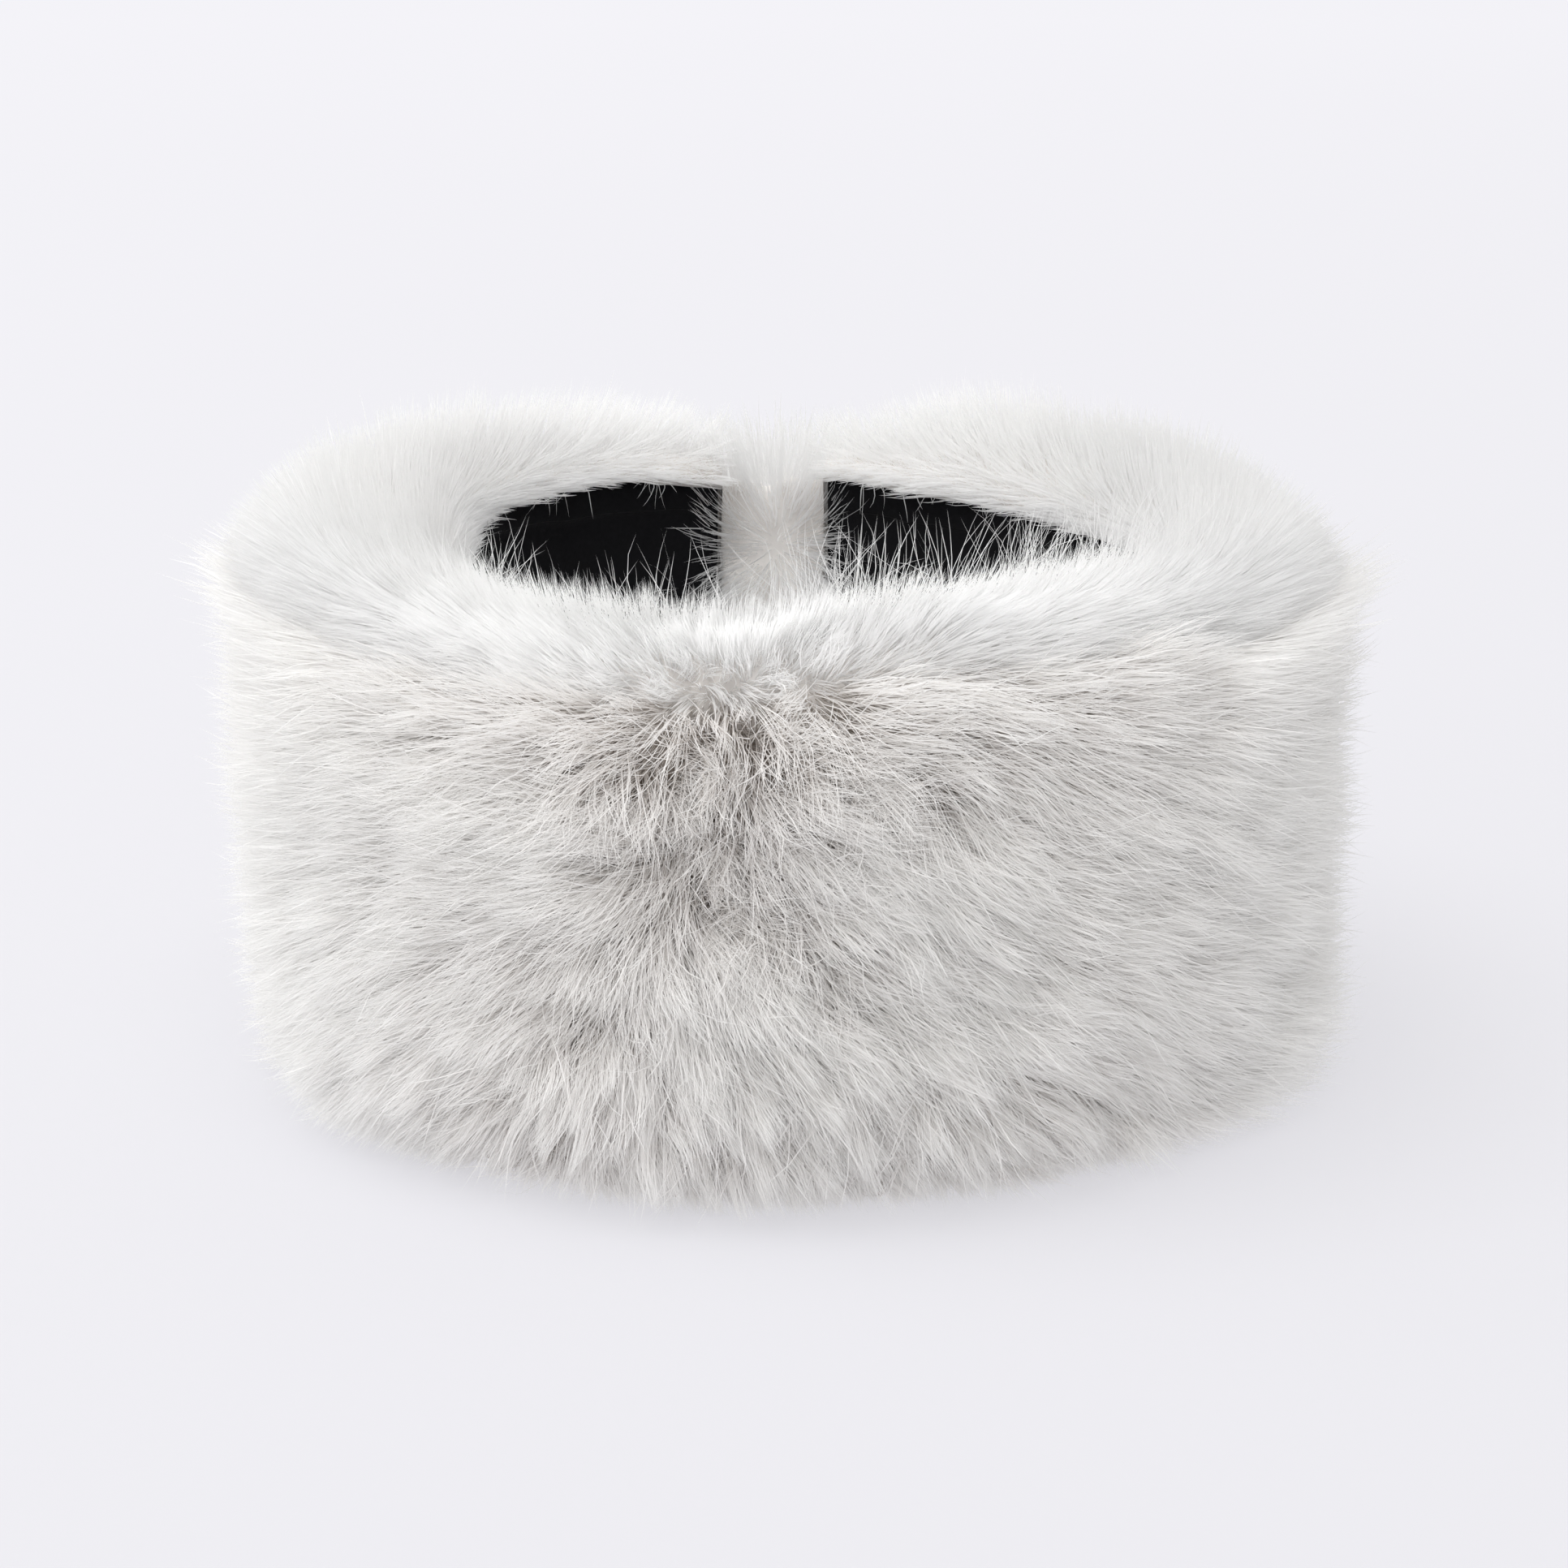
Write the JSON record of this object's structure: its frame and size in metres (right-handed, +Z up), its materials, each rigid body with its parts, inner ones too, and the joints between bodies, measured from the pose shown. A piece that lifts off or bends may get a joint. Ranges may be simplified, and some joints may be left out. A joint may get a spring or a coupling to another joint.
{
  "type": "faux fur headband",
  "caption": "Wide head wrap of long-pile faux fur, joined by a short furred elastic section at the back and lined inside with a strip of fleece.",
  "frame": {"origin": "middle of the bounding box on the surface that the band stands on", "axes": "+X to the wearer's left, from ear to ear; -Y towards the wearer's forehead; +Z up the wearer's head"},
  "size_m": [0.2564, 0.2336, 0.1313],
  "materials": {
    "faux_fur": "off-white long-pile acrylic faux fur, soft and matt, brushed out from a whorl at the forehead",
    "fleece_lining": "black brushed fleece with a short nap and a turned, stitched hem"
  },
  "bodies": {
    "root": {"fur_band": "faux_fur", "stretch_panel": "faux_fur", "lining": "fleece_lining"}
  },
  "joints": []
}
